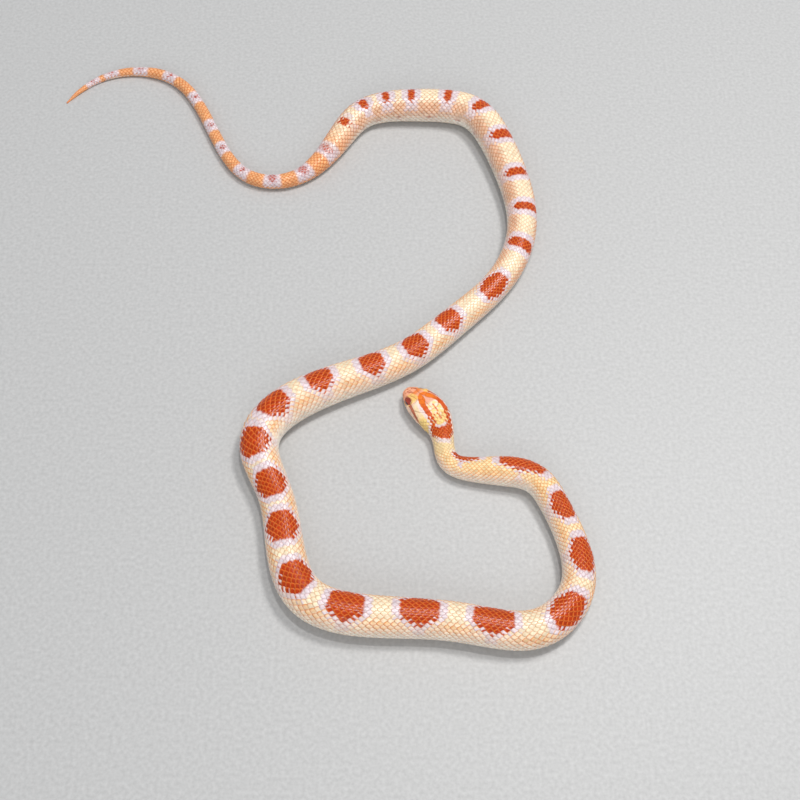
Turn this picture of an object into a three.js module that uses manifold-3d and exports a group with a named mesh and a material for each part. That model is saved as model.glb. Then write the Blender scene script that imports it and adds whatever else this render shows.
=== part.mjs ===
// Young corn snake at life size, lying at rest, in millimetres with +Z up.
// The body is drawn straight first: x runs from the snout to the tail tip, y to the animal's left, z up.
// Every piece is then laid along one smooth spine on the floor.
import * as THREE from "three";
import { mergeVertices } from "three/addons/utils/BufferGeometryUtils.js";
import Module from "manifold-3d";

const wasm = await Module();
wasm.setup();

// Where the middle of the outline lies before it is moved to the origin.
const MIDDLE = [-32.66, 218.63];
// Control points of the spine's uniform cubic B-spline, snout first.
const SPINE = [
  [-22.7, 214.3], [4.3, 189.2], [14.8, 177.6], [11.5, 162.3], [38.7, 164.0], [44.6, 155.3],
  [53.0, 132.6], [48.4, 119.4], [36.1, 110.6], [14.9, 116.9], [-9.8, 116.5], [-27.2, 120.4],
  [-33.2, 134.6], [-35.1, 154.8], [-45.3, 170.6], [-37.7, 184.0], [-19.6, 193.3], [2.4, 201.0],
  [16.4, 215.4], [33.2, 230.7], [41.6, 249.4], [41.2, 268.0], [34.0, 292.2], [26.8, 307.4],
  [9.5, 308.5], [-13.1, 308.4], [-20.4, 295.3], [-30.8, 277.5], [-45.9, 273.6], [-58.3, 280.4],
  [-67.5, 301.2], [-77.0, 321.3], [-91.3, 329.1], [-108.7, 327.5], [-121.0, 315.1], [-132.8, 292.9],
];
// Full width at distances from the snout.
const WIDTH = [
  [0, 0.4], [0.25, 2.35], [0.8, 3.75], [1.5, 4.85], [2.7, 6.3], [3.8, 7.6], [4.9, 8.6], [6, 9.45], [8.2, 10.15],
  [10.3, 10.6], [12.5, 10.7], [14.7, 10.3], [16.6, 9.2], [18.6, 8.2], [21, 7.25], [24, 6.75], [30, 7.0],
  [38, 8.05], [48, 9.4], [68, 9.0], [86, 9.8], [110, 11.2], [137, 11.4], [165, 12.2], [192, 11.5], [210, 10.8],
  [232, 12.4], [244, 12.6], [272, 11.4], [302, 10.3], [325, 9.6], [347, 10.1], [377, 11.3], [407, 12.0],
  [424, 11.8], [442, 10.7], [459, 9.1], [472, 7.2], [482, 5.7], [502, 4.8], [522, 4.4], [543, 4.3],
  [558, 4.0], [572, 3.2], [586, 2.2], [594, 1.4], [599, 0.5],
];
// Height of the crown of the back, and of the belly above the floor.
const HEAD_TOP = [
  [0, 2.95], [0.25, 3.6], [0.8, 4.05], [1.5, 4.4], [2.7, 4.85], [3.8, 5.25], [4.9, 5.6], [6, 5.9],
  [8.2, 6.35], [10.3, 6.65], [12.5, 6.75], [14.7, 6.65], [17, 6.45], [19.5, 6.3], [24, 6.3], [30, 6.6],
];
const HEAD_BOTTOM = [
  [0, 2.55], [0.25, 2.0], [0.8, 1.6], [1.5, 1.3], [2.7, 1.05], [3.8, 0.9], [6, 0.7], [10, 0.5], [15, 0.28],
  [18.5, 0.1], [21, 0],
];
const HEIGHT_SHARE = 0.87;
const HEAD_END = 18.6;
const NECK_END = 46;
const TRUNK_PARTS = 10;
const VENT = 474;
const TAIL_PARTS = 3;
const GAP = 0.3;
const SCUTE_STEP = 0.24;

// Mouth line, eyes and nostrils.
const MOUTH = [[-2, 2.75], [0, 2.7], [1.5, 2.45], [4.6, 2.35], [8, 2.4], [11, 2.2], [13, 2.3], [14.8, 2.75], [17, 3.4]];
const MOUTH_END = 14.6;
// The eye is a flattened ball, half sunk, that looks out, a little up and a little forward.
const EYE = { at: [4.75, 2.97, 3.98], radii: [1.75, 1.25, 1.48], up: 0.3, forward: 0.16 };
const NOSTRIL = { at: [1.35, 2.2, 3.42], radius: 0.3 };
const PLATE_RISE = 0.14;
// Left-hand outlines of the crown's plates seen from above, each a few corners, mirrored to the right.
const CROWN_PLATES = [
  [[0.55, 0.11], [0.75, 1.1], [1.25, 1.9], [1.75, 1.5], [1.7, 0.11]],
  [[1.92, 0.11], [1.97, 1.5], [1.7, 2.3], [2.5, 2.75], [3.2, 1.5], [3.3, 0.11]],
  [[3.45, 1.5], [2.85, 2.75], [4.0, 3.6], [5.6, 3.9], [6.6, 3.3], [6.45, 1.35], [5.3, 1.25]],
  [[7.45, 0.11], [6.7, 1.45], [6.85, 3.3], [8.3, 4.3], [10.4, 3.9], [12.3, 2.2], [12.2, 0.11]],
];
const FRONTAL = [[3.52, 0], [3.52, 1.3], [5.3, 1.02], [6.5, 1.1], [7.35, 0]];
// Side plates as corners in x and z: nasal, loreal, two behind the eye and three on the temple.
const SIDE_PLATES = [
  [[0.75, 3.3], [2.0, 3.2], [2.05, 4.0], [1.0, 3.85]],
  [[2.2, 3.2], [3.05, 3.3], [3.0, 4.25], [2.25, 4.1]],
  [[6.75, 3.55], [7.5, 3.6], [7.45, 4.5], [6.6, 4.6]],
  [[6.65, 4.75], [7.45, 4.65], [7.4, 5.3], [6.7, 5.2]],
  [[7.7, 3.6], [9.3, 3.7], [9.3, 5.3], [7.65, 5.2]],
  [[9.5, 3.7], [11.1, 3.75], [11.0, 5.35], [9.5, 5.3]],
  [[11.3, 3.8], [12.8, 3.95], [12.6, 5.4], [11.2, 5.35]],
];
const LABIALS = { first: 0.95, last: 13.6, upper: 8, lower: 7, front: 0.68, back: 1.2, seam: 0.2 };

// A smooth reading of a table of [distance, value] rows that never overshoots its rows.
function reading(table) {
  const slope = table.map((row, k) => {
    if (k === 0 || k === table.length - 1) {
      return 0;
    }
    const [a, b, c] = [table[k - 1], row, table[k + 1]];
    const before = (b[1] - a[1]) / (b[0] - a[0]);
    const after = (c[1] - b[1]) / (c[0] - b[0]);
    return before * after <= 0 ? 0 : (2 * before * after) / (before + after);
  });
  return (x) => {
    if (x <= table[0][0]) {
      return table[0][1];
    }
    for (let k = 1; k < table.length; k += 1) {
      if (x <= table[k][0]) {
        const [x0, y0] = table[k - 1];
        const [x1, y1] = table[k];
        const d = x1 - x0;
        const t = (x - x0) / d;
        const u = 1 - t;
        return y0 * u * u * (1 + 2 * t) + y1 * t * t * (3 - 2 * t) + d * t * u * (u * slope[k - 1] - t * slope[k]);
      }
    }
    return table[table.length - 1][1];
  };
}

const width = reading(WIDTH);
const headTop = reading(HEAD_TOP);
const headBottom = reading(HEAD_BOTTOM);
const mouth = reading(MOUTH);

// The spine as a table of positions by distance from the snout.
function splinePoint(t) {
  const k = Math.min(Math.floor(t), SPINE.length - 4);
  const f = t - k;
  const g = 1 - f;
  const weight = [g * g * g, 3 * f * f * f - 6 * f * f + 4, 3 * (f + f * f - f * f * f) + 1, f * f * f];
  return [0, 1].map((axis) => weight.reduce((sum, w, i) => sum + (w * SPINE[k + i][axis]) / 6, -MIDDLE[axis]));
}
const path = [];
let travelled = 0;
for (let i = 0; i <= 4000; i += 1) {
  const [x, y] = splinePoint((i / 4000) * (SPINE.length - 3));
  if (i > 0) {
    const last = path[i - 1];
    travelled += Math.hypot(x - last.x, y - last.y);
  }
  path.push({ x, y, s: travelled });
}
const LENGTH = travelled;

function onSpine(s) {
  const want = Math.min(Math.max(s, 0), LENGTH);
  let low = 0;
  let high = path.length - 1;
  while (high - low > 1) {
    const middle = (low + high) >> 1;
    if (path[middle].s <= want) {
      low = middle;
    } else {
      high = middle;
    }
  }
  const a = path[low];
  const b = path[high];
  const t = (want - a.s) / (b.s - a.s);
  return { x: a.x + (b.x - a.x) * t, y: a.y + (b.y - a.y) * t };
}

function spineFrame(s) {
  const reach = 0.6;
  const a = onSpine(Math.max(s - reach, 0));
  const b = onSpine(Math.min(s + reach, LENGTH));
  const d = Math.hypot(b.x - a.x, b.y - a.y);
  const direction = [(b.x - a.x) / d, (b.y - a.y) / d];
  const at = onSpine(s);
  const beyond = s - Math.min(Math.max(s, 0), LENGTH);
  return {
    at: [at.x + direction[0] * beyond, at.y + direction[1] * beyond],
    left: [direction[1], -direction[0]],
  };
}

// One cross-section: a loaf with a rounded back, full sides and a flat belly.
function section(s, points, recess = 0, grow = 0) {
  const w = width(s) / 2 + grow;
  const inHead = s < 30;
  const share = Math.min(Math.max((s - 19) / 11, 0), 1);
  const bodyTop = width(s) * HEIGHT_SHARE;
  const top = (inHead ? headTop(s) * (1 - share) + bodyTop * share : bodyTop) + grow;
  const bottom = headBottom(s) - grow;
  const middle = bottom + (top - bottom) * (s < 19 ? 0.47 : 0.44);
  const floorLevel = bottom + Math.min(recess, (top - bottom) * 0.12);
  const crownFlat = Math.min(Math.max((20 - s) / 8, 0), 1);
  const ring = [];
  for (let i = 0; i < points; i += 1) {
    const angle = ((i + 0.5) / points) * 2 * Math.PI;
    const c = Math.cos(angle);
    const q = Math.sin(angle);
    const y = w * Math.sign(c) * Math.abs(c) ** (q > 0 ? 0.94 - 0.1 * crownFlat : 0.8);
    const back = q > 0 ? q ** (0.96 - 0.2 * crownFlat) : 0;
    let z = q > 0 ? middle + (top - middle) * back : middle - (middle - bottom) * 1.1 * (-q) ** 0.86;
    z = Math.max(z, floorLevel);
    ring.push([s - grow * Math.max(0, 1 - s / 1.5), y, z]);
  }
  return ring;
}

// A closed solid through rings of equal length, given as [x, y, z] points, facing outwards.
function loft(rings) {
  const count = rings[0].length;
  const positions = rings.flat(2);
  const index = [];
  for (let r = 0; r + 1 < rings.length; r += 1) {
    for (let i = 0; i < count; i += 1) {
      const a = r * count + i;
      const b = r * count + ((i + 1) % count);
      index.push(a, b, a + count, b, b + count, a + count);
    }
  }
  for (const [ring, flip] of [[0, true], [rings.length - 1, false]]) {
    const centre = positions.length / 3;
    const sum = [0, 0, 0];
    for (const p of rings[ring]) {
      p.forEach((v, k) => { sum[k] += v / count; });
    }
    positions.push(...sum);
    for (let i = 0; i < count; i += 1) {
      const a = ring * count + i;
      const b = ring * count + ((i + 1) % count);
      index.push(...(flip ? [b, a, centre] : [a, b, centre]));
    }
  }
  return outward(positions, index);
}

function outward(positions, index) {
  let volume = 0;
  const p = (i) => new THREE.Vector3(positions[3 * i], positions[3 * i + 1], positions[3 * i + 2]);
  for (let i = 0; i < index.length; i += 3) {
    volume += p(index[i]).dot(p(index[i + 1]).cross(p(index[i + 2])));
  }
  if (volume < 0) {
    for (let i = 0; i < index.length; i += 3) {
      [index[i + 1], index[i + 2]] = [index[i + 2], index[i + 1]];
    }
  }
  const geometry = new THREE.BufferGeometry();
  geometry.setAttribute("position", new THREE.Float32BufferAttribute(positions, 3));
  geometry.setIndex(index);
  return geometry;
}

// Lays a straight solid along the spine.
function lay(geometry) {
  const source = geometry.getAttribute("position");
  const positions = [];
  for (let i = 0; i < source.count; i += 1) {
    const frame = spineFrame(source.getX(i));
    const y = source.getY(i);
    positions.push(frame.at[0] + frame.left[0] * y, frame.at[1] + frame.left[1] * y, source.getZ(i));
  }
  return outward(positions, Array.from(geometry.getIndex().array));
}

function toSolid(geometry) {
  const bare = geometry.clone();
  bare.deleteAttribute("normal");
  bare.deleteAttribute("uv");
  const merged = mergeVertices(bare, 1e-4);
  return new wasm.Manifold(new wasm.Mesh({
    numProp: 3,
    vertProperties: new Float32Array(merged.getAttribute("position").array),
    triVerts: new Uint32Array(merged.getIndex().array),
  }));
}

function fromSolid(solid) {
  const pieces = solid.decompose();
  pieces.sort((a, b) => b.volume() - a.volume());
  const mesh = pieces[0].getMesh();
  return outward(Array.from(mesh.vertProperties), Array.from(mesh.triVerts));
}

// Body lengths: a shallow step in the belly marks the edge of each broad scute.
function bodyLength(from, to) {
  const points = from >= VENT ? 14 : 18;
  const pitch = (s) => (s >= VENT ? Math.max(1.25 * width(s), 3.4) : Math.max(0.85 * width(s), 5.6));
  const stations = [];
  const scutes = Math.max(1, Math.round((to - from) / pitch((from + to) / 2)));
  const step = (to - from) / scutes;
  for (let k = 0; k < scutes; k += 1) {
    const a = from + step * k;
    stations.push([a + (k === 0 ? 0 : 0.04 * step), k === 0 ? 0 : SCUTE_STEP]);
    stations.push([a + 0.16 * step, 0]);
    if (from < VENT) {
      stations.push([a + 0.55 * step, 0]);
    }
    stations.push([a + 0.94 * step, 0]);
  }
  stations.push([to, 0]);
  return lay(loft(stations.map(([s, recess]) => section(s, points, recess))));
}

// A prism through a flat outline: along z for outlines in x and y, or along y for outlines in x and z.
function prism(outline, low, high, alongY = false) {
  const at = (p, h) => (alongY ? [p[0], h, p[1]] : [p[0], p[1], h]);
  return toSolid(loft([outline.map((p) => at(p, low)), outline.map((p) => at(p, high))]));
}

// The eye's place: turned to look outwards on its side, grown a little for the socket.
function eyeForm(side, grow, wide, tall) {
  const ball = new THREE.SphereGeometry(1, wide, tall);
  ball.rotateX(Math.PI / 2);
  ball.scale(EYE.radii[0] + grow, EYE.radii[1] + grow, EYE.radii[2] + grow);
  ball.rotateX(side * EYE.up);
  ball.rotateZ(side * EYE.forward);
  ball.translate(EYE.at[0], EYE.at[1] * side, EYE.at[2]);
  return ball;
}

// Head: one closed form, with plates raised on crown and lips, parted along the mouth, with sockets for the eyes.
function headForms() {
  const stations = [0, 0.25, 0.55, 0.95, 1.5];
  for (let s = 2.2; s < HEAD_END; s += 0.95) {
    stations.push(s);
  }
  stations.push(HEAD_END);
  const skin = (grow) => toSolid(loft(stations.map((s) => section(s, 28, 0, grow))));
  const whole = skin(0);
  const raised = skin(PLATE_RISE);
  const below = (drop, end) => {
    const rings = [];
    for (let s = -2; s <= end + 1e-6; s += (end + 2) / 12) {
      const z = mouth(s) - drop;
      rings.push([[s, -9, -3], [s, 9, -3], [s, 9, z], [s, -9, z]]);
    }
    return toSolid(loft(rings));
  };
  let plates = prism([...FRONTAL, ...FRONTAL.slice(1, -1).reverse().map(([x, y]) => [x, -y])], 4, 9);
  for (const outline of CROWN_PLATES) {
    plates = plates.add(prism(outline, 4, 9)).add(prism(outline.map(([x, y]) => [x, -y]), 4, 9));
  }
  for (const outline of SIDE_PLATES) {
    plates = plates.add(prism(outline, -8, 8, true));
  }
  const lips = (count, sign) => {
    let band = null;
    const pitch = (LABIALS.last - LABIALS.first) / count;
    for (let k = 0; k < count; k += 1) {
      const a = LABIALS.first + pitch * k;
      const b = a + pitch - LABIALS.seam;
      const edge = (x) => mouth(x) + (sign > 0 ? 0.04 : -GAP - 0.04);
      const rise = (x) => sign * (LABIALS.front + ((LABIALS.back - LABIALS.front) * x) / LABIALS.last);
      const corners = [[a, edge(a)], [b, edge(b)], [b + 0.08, edge(b) + rise(b)], [a + 0.08, edge(a) + rise(a)]];
      const outline = sign > 0 ? corners : corners.reverse();
      const one = prism(outline, -8, 8, true);
      band = band ? band.add(one) : one;
    }
    return band;
  };
  const rostral = prism([[-1, 2.6], [0.8, 2.6], [0.8, 3.6], [0.45, 3.95], [-1, 3.95]], -0.95, 0.95, true);
  plates = plates.add(lips(LABIALS.upper, 1)).add(rostral);
  let upper = whole.add(raised.intersect(plates)).subtract(below(0, MOUTH_END));
  const chin = lips(LABIALS.lower, -1);
  const jaw = whole.add(raised.intersect(chin)).intersect(below(GAP, MOUTH_END - GAP));
  for (const side of [1, -1]) {
    upper = upper.subtract(toSolid(eyeForm(side, 0.12, 16, 12)));
    const pit = new THREE.CylinderGeometry(NOSTRIL.radius, NOSTRIL.radius, 1.1, 8);
    pit.translate(NOSTRIL.at[0], NOSTRIL.at[1] * side, NOSTRIL.at[2]);
    upper = upper.subtract(toSolid(pit));
  }
  return { upper: lay(fromSolid(upper)), jaw: lay(fromSolid(jaw)) };
}

function eyeBall(side) {
  return lay(mergeVertices(bareCopy(eyeForm(side, 0, 16, 10)), 1e-4));
}

function bareCopy(geometry) {
  const copy = geometry.clone();
  copy.deleteAttribute("normal");
  copy.deleteAttribute("uv");
  return copy;
}

const flesh = new THREE.MeshStandardMaterial({ color: 0xe9a988, roughness: 0.55, metalness: 0 });
const crown = new THREE.MeshStandardMaterial({ color: 0xd9783f, roughness: 0.5, metalness: 0 });
const iris = new THREE.MeshStandardMaterial({ color: 0x8c1f17, roughness: 0.08, metalness: 0 });

const group = new THREE.Group();
group.name = "corn_snake";
function place(name, geometry, material) {
  geometry.computeVertexNormals();
  const mesh = new THREE.Mesh(geometry, material);
  mesh.name = name;
  group.add(mesh);
}

const head = headForms();
place("head", head.upper, crown);
place("lower_jaw", head.jaw, flesh);
place("eye_left", eyeBall(1), iris);
place("eye_right", eyeBall(-1), iris);
place("neck", bodyLength(HEAD_END + GAP, NECK_END), flesh);
const trunkStep = (VENT - NECK_END) / TRUNK_PARTS;
for (let k = 0; k < TRUNK_PARTS; k += 1) {
  const from = NECK_END + trunkStep * k + GAP;
  place(`trunk_${k + 1}`, bodyLength(from, NECK_END + trunkStep * (k + 1)), flesh);
}
const tailStep = (LENGTH - VENT) / TAIL_PARTS;
for (let k = 0; k < TAIL_PARTS; k += 1) {
  place(`tail_${k + 1}`, bodyLength(VENT + tailStep * k + GAP, VENT + tailStep * (k + 1)), flesh);
}

export default group;
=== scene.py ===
import math

import bpy
import numpy as np
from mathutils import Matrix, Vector


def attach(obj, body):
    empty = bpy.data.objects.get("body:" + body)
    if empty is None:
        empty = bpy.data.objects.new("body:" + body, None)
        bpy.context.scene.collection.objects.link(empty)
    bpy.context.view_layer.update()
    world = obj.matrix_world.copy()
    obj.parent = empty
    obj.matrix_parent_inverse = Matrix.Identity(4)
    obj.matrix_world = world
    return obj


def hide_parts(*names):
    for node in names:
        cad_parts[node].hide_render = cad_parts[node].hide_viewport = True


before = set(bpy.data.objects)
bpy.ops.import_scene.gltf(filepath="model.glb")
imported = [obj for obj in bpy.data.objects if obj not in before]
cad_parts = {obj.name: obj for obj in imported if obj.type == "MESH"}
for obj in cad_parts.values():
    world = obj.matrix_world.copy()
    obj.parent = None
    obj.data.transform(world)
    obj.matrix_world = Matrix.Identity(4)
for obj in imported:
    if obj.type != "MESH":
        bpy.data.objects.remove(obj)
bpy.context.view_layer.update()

# Floor, lamps and camera. A pale, faintly grained table top carries the model. One broad lamp up to
# the right casts the shadows, a small one gives the glints on the scales, and a wide soft one lights
# the near flanks. The room is light all round, and the camera looks down at 60 degrees.
scene = bpy.context.scene
scene.view_settings.view_transform = "Standard"
scene.view_settings.look = "None"

camera_data = bpy.data.cameras.new("camera")
camera_data.sensor_width = 36
camera_data.lens = 54.675
camera_data.clip_start = 0.01
camera = bpy.data.objects.new("camera", camera_data)
camera.location = (0.03266, -0.21863, 0.328)
camera.rotation_euler = (math.radians(30), 0, 0)
scene.collection.objects.link(camera)
scene.camera = camera

world = bpy.data.worlds.new("room")
world.use_nodes = True
world.node_tree.nodes["Background"].inputs["Color"].default_value = (0.93, 0.96, 1.0, 1)
world.node_tree.nodes["Background"].inputs["Strength"].default_value = 0.46
scene.world = world


def lamp(name, at, aim, width, height, watts, colour):
    data = bpy.data.lights.new(name, "AREA")
    data.shape = "RECTANGLE"
    data.size = width
    data.size_y = height
    data.energy = watts
    data.color = colour
    made = bpy.data.objects.new(name, data)
    made.location = at
    made.rotation_mode = "QUATERNION"
    made.rotation_quaternion = (Vector(aim) - Vector(at)).to_track_quat("-Z", "Y")
    scene.collection.objects.link(made)


lamp("ceiling_lamp", (0.42, 0.30, 1.0), (0, 0, 0), 0.28, 0.20, 6.4, (1.0, 0.985, 0.96))
lamp("glint_lamp", (0.12, 0.10, 1.0), (0, 0, 0), 0.06, 0.04, 2.2, (1.0, 0.99, 0.97))
lamp("fill_lamp", (-0.05, -1.0, 0.55), (0, 0, 0), 1.0, 0.6, 3.8, (1.0, 0.99, 0.97))

floor_mesh = bpy.data.meshes.new("table_top")
floor_mesh.from_pydata([(-3, -3, 0), (3, -3, 0), (3, 3, 0), (-3, 3, 0)], [], [(0, 1, 2, 3)])
floor = bpy.data.objects.new("table_top", floor_mesh)
scene.collection.objects.link(floor)
floor_paint = bpy.data.materials.new("table_top_grey")
floor_paint.use_nodes = True
nodes, links = floor_paint.node_tree.nodes, floor_paint.node_tree.links
place = nodes.new("ShaderNodeTexCoord")
grain = nodes.new("ShaderNodeTexNoise")
grain.inputs["Scale"].default_value = 900
grain.inputs["Detail"].default_value = 3
tone = nodes.new("ShaderNodeMapRange")
tone.inputs["To Min"].default_value = 0.38
tone.inputs["To Max"].default_value = 0.59
links.new(place.outputs["Object"], grain.inputs["Vector"])
links.new(grain.outputs["Fac"], tone.inputs["Value"])
links.new(tone.outputs["Result"], nodes["Principled BSDF"].inputs["Base Color"])
nodes["Principled BSDF"].inputs["Roughness"].default_value = 0.5
floor_mesh.materials.append(floor_paint)

# The skin. One closed hide from snout to tail tip, stretched over the solid's own form and
# a scale's thickness inside it. It is lofted from cross-sections laid along the spine, in
# millimetres, with distance from the snout and share of the way round as its two coordinates.
MIDDLE = np.array([-32.66, 218.63])
SPINE = np.array([
    [-22.7, 214.3], [4.3, 189.2], [14.8, 177.6], [11.5, 162.3], [38.7, 164.0], [44.6, 155.3],
    [53.0, 132.6], [48.4, 119.4], [36.1, 110.6], [14.9, 116.9], [-9.8, 116.5], [-27.2, 120.4],
    [-33.2, 134.6], [-35.1, 154.8], [-45.3, 170.6], [-37.7, 184.0], [-19.6, 193.3], [2.4, 201.0],
    [16.4, 215.4], [33.2, 230.7], [41.6, 249.4], [41.2, 268.0], [34.0, 292.2], [26.8, 307.4],
    [9.5, 308.5], [-13.1, 308.4], [-20.4, 295.3], [-30.8, 277.5], [-45.9, 273.6], [-58.3, 280.4],
    [-67.5, 301.2], [-77.0, 321.3], [-91.3, 329.1], [-108.7, 327.5], [-121.0, 315.1], [-132.8, 292.9],
])
WIDTH = [
    (0, 0.4), (0.25, 2.35), (0.8, 3.75), (1.5, 4.85), (2.7, 6.3), (3.8, 7.6), (4.9, 8.6), (6, 9.45),
    (8.2, 10.15), (10.3, 10.6), (12.5, 10.7), (14.7, 10.3), (16.6, 9.2), (18.6, 8.2), (21, 7.25),
    (24, 6.75), (30, 7.0), (38, 8.05), (48, 9.4), (68, 9.0), (86, 9.8), (110, 11.2), (137, 11.4),
    (165, 12.2), (192, 11.5), (210, 10.8), (232, 12.4), (244, 12.6), (272, 11.4), (302, 10.3),
    (325, 9.6), (347, 10.1), (377, 11.3), (407, 12.0), (424, 11.8), (442, 10.7), (459, 9.1),
    (472, 7.2), (482, 5.7), (502, 4.8), (522, 4.4), (543, 4.3), (558, 4.0), (572, 3.2), (586, 2.2),
    (594, 1.4), (599, 0.5),
]
HEAD_TOP = [
    (0, 2.95), (0.25, 3.6), (0.8, 4.05), (1.5, 4.4), (2.7, 4.85), (3.8, 5.25), (4.9, 5.6), (6, 5.9),
    (8.2, 6.35), (10.3, 6.65), (12.5, 6.75), (14.7, 6.65), (17, 6.45), (19.5, 6.3), (24, 6.3), (30, 6.6),
]
HEAD_BOTTOM = [
    (0, 2.55), (0.25, 2.0), (0.8, 1.6), (1.5, 1.3), (2.7, 1.05), (3.8, 0.9), (6, 0.7), (10, 0.5),
    (15, 0.28), (18.5, 0.1), (21, 0),
]
MOUTH = [
    (-2, 2.75), (0, 2.7), (1.5, 2.45), (4.6, 2.35), (8, 2.4), (11, 2.2), (13, 2.3), (14.8, 2.75), (17, 3.4),
]
HEIGHT_SHARE = 0.87
VENT = 474
# How far the skin lies inside the solid: a share of the width, at most so much, and less under plates.
COAT_SHARE, COAT_MOST, UNDER_PLATES = 0.042, 0.26, 0.15
MM = 0.001


def reading(rows):
    x, v = np.array(rows, float).T
    rate = np.diff(v) / np.diff(x)
    before, after = rate[:-1], rate[1:]
    same = before * after > 0
    slope = np.zeros(len(x))
    slope[1:-1] = np.where(same, 2 * before * after / np.where(same, before + after, 1), 0)

    def read(q):
        q = np.clip(q, x[0], x[-1])
        k = np.clip(np.searchsorted(x, q, side="right") - 1, 0, len(x) - 2)
        d = x[k + 1] - x[k]
        t = (q - x[k]) / d
        u = 1 - t
        return (v[k] * u * u * (1 + 2 * t) + v[k + 1] * t * t * (3 - 2 * t)
                + d * t * u * (u * slope[k] - t * slope[k + 1]))

    return read


def ease(low, high, value):
    t = np.clip((value - low) / (high - low), 0, 1)
    return t * t * (3 - 2 * t)


width = reading(WIDTH)
head_top = reading(HEAD_TOP)
head_bottom = reading(HEAD_BOTTOM)
mouth = reading(MOUTH)

steps = np.linspace(0, len(SPINE) - 3, 4001)
knot = np.minimum(np.floor(steps).astype(int), len(SPINE) - 4)
f = steps - knot
g = 1 - f
weights = np.stack([g**3, 3 * f**3 - 6 * f**2 + 4, 3 * (f + f**2 - f**3) + 1, f**3], 1) / 6
course = sum(weights[:, i:i + 1] * SPINE[knot + i] for i in range(4)) - MIDDLE
run = np.concatenate([[0], np.cumsum(np.hypot(*np.diff(course, axis=0).T))])
LENGTH = run[-1]


def on_spine(s):
    return np.stack([np.interp(s, run, course[:, 0]), np.interp(s, run, course[:, 1])], -1)


def lay(x, y, z):
    """Straight coordinates to places along the spine."""
    ahead = on_spine(x + 0.6) - on_spine(x - 0.6)
    ahead /= np.linalg.norm(ahead, axis=-1, keepdims=True)
    beyond = x - np.clip(x, 0, LENGTH)
    left = np.stack([ahead[..., 1], -ahead[..., 0]], -1)
    flat = on_spine(x) + ahead * beyond[..., None] + left * y[..., None]
    return np.concatenate([flat, z[..., None]], -1)


def half_section(s, points):
    """Back to belly down the left side of one cross-section of the solid."""
    w = width(s) / 2
    share = np.clip((s - 19) / 11, 0, 1)
    body_top = width(s) * HEIGHT_SHARE
    top = np.where(s < 30, head_top(s) * (1 - share) + body_top * share, body_top)
    bottom = head_bottom(s)
    middle = bottom + (top - bottom) * np.where(s < 19, 0.47, 0.44)
    flat = np.clip((20 - s) / 8, 0, 1)
    angle = np.linspace(math.pi / 2, -math.pi / 2, points)
    c, q = np.abs(np.cos(angle)), np.sin(angle)
    up = np.maximum(q, 0)
    down = np.maximum(-q, 0)
    w, top, bottom, middle, flat = (a[:, None] for a in (w, top, bottom, middle, flat))
    y = w * np.where(q > 0, c ** (0.94 - 0.1 * flat), c**0.8)
    z = np.where(q > 0, middle + (top - middle) * up ** (0.96 - 0.2 * flat),
                 np.maximum(middle - (middle - bottom) * 1.1 * down**0.86, bottom))
    return y, z


FRACTIONS = 120
stations = np.concatenate([np.arange(0, 24, 0.1), np.arange(24, LENGTH, 0.6), [LENGTH]])
depth = np.minimum(COAT_MOST, COAT_SHARE * width(stations))
depth = (depth * (UNDER_PLATES + (1 - UNDER_PLATES) * ease(11, 13, stations)))[:, None]
ring_y, ring_z = half_section(stations, 900)
slide = np.stack([np.gradient(ring_y, axis=1), np.gradient(ring_z, axis=1)], -1)
slide /= np.maximum(np.linalg.norm(slide, axis=-1, keepdims=True), 1e-9)
ring_y = np.maximum(ring_y - depth * -slide[..., 1], 0)
ring_z = ring_z - depth * slide[..., 0]
paces = np.hypot(np.diff(ring_y, axis=1), np.diff(ring_z, axis=1))
travel = np.concatenate([np.zeros((len(stations), 1)), np.cumsum(paces, axis=1)], 1)
HALF_GIRTH = travel[:, -1]
even = np.linspace(0, 1, FRACTIONS + 1)
SIDE_Y = np.array([np.interp(even * t[-1], t, y) for t, y in zip(travel, ring_y)])
SIDE_Z = np.array([np.interp(even * t[-1], t, z) for t, z in zip(travel, ring_z)])


def half_girth(s):
    return np.interp(s, stations, HALF_GIRTH)


def straight(s, f):
    """A place on the skin in straight coordinates. f goes from -1 at the belly over the right side,
    the back at 0 and the left side to 1 at the belly again."""
    s = np.asarray(s, float)
    i = np.interp(s, stations, np.arange(len(stations)))
    j = np.minimum(np.abs(f), 1) * FRACTIONS
    i0 = np.minimum(i.astype(int), len(stations) - 2)
    j0 = np.minimum(j.astype(int), FRACTIONS - 1)
    a, b = i - i0, j - j0

    def mix(table):
        return ((table[i0, j0] * (1 - b) + table[i0, j0 + 1] * b) * (1 - a)
                + (table[i0 + 1, j0] * (1 - b) + table[i0 + 1, j0 + 1] * b) * a)

    x = s + 0.12 * np.clip(1 - s / 4, 0, 1) - 0.12 * np.clip(1 - (LENGTH - s) / 6, 0, 1)
    return x, np.sign(f) * mix(SIDE_Y), mix(SIDE_Z)


def axes(s, f):
    """Unit vectors on the skin: tailwards, across and outwards."""
    back = lay(*straight(s + 0.2, f)) - lay(*straight(s - 0.2, f))
    one, other = np.clip(f - 0.012, -1, 1), np.clip(f + 0.012, -1, 1)
    out = np.cross(lay(*straight(s, other)) - lay(*straight(s, one)), back)
    out /= np.maximum(np.linalg.norm(out, axis=-1, keepdims=True), 1e-12)
    back = back - out * np.sum(back * out, -1, keepdims=True)
    back /= np.maximum(np.linalg.norm(back, axis=-1, keepdims=True), 1e-12)
    return back, np.cross(out, back), out


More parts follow.
